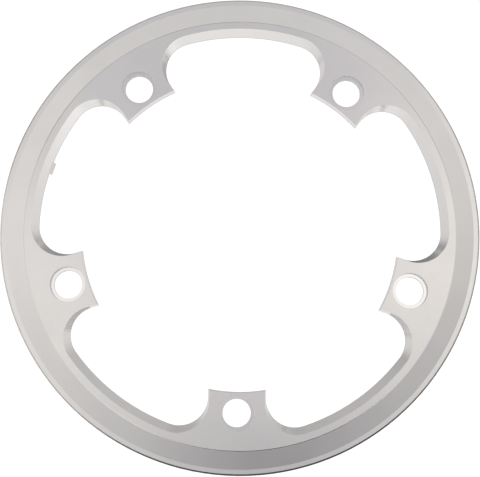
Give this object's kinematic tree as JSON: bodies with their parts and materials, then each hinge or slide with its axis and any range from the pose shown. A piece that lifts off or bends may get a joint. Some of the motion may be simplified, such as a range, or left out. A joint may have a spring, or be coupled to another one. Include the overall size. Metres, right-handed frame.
{
  "type": "bicycle chain guard",
  "caption": "Flat round guard ring for a bicycle crank, with inward bolt tabs, bevelled windows and a sloping rim that keeps clothing off the chain.",
  "frame": {"origin": "ring axis at the flat back face", "axes": "+Z along the ring's axis, out of the bevelled outer face; -Y through the first bolt tab"},
  "size_m": [0.1744, 0.1744, 0.0032],
  "materials": {
    "anodised_aluminium": "fine satin silver, bead blasted and clear anodised, with bright turned bolt seats"
  },
  "bodies": {
    "root": {"guard_ring": "anodised_aluminium"}
  },
  "joints": []
}
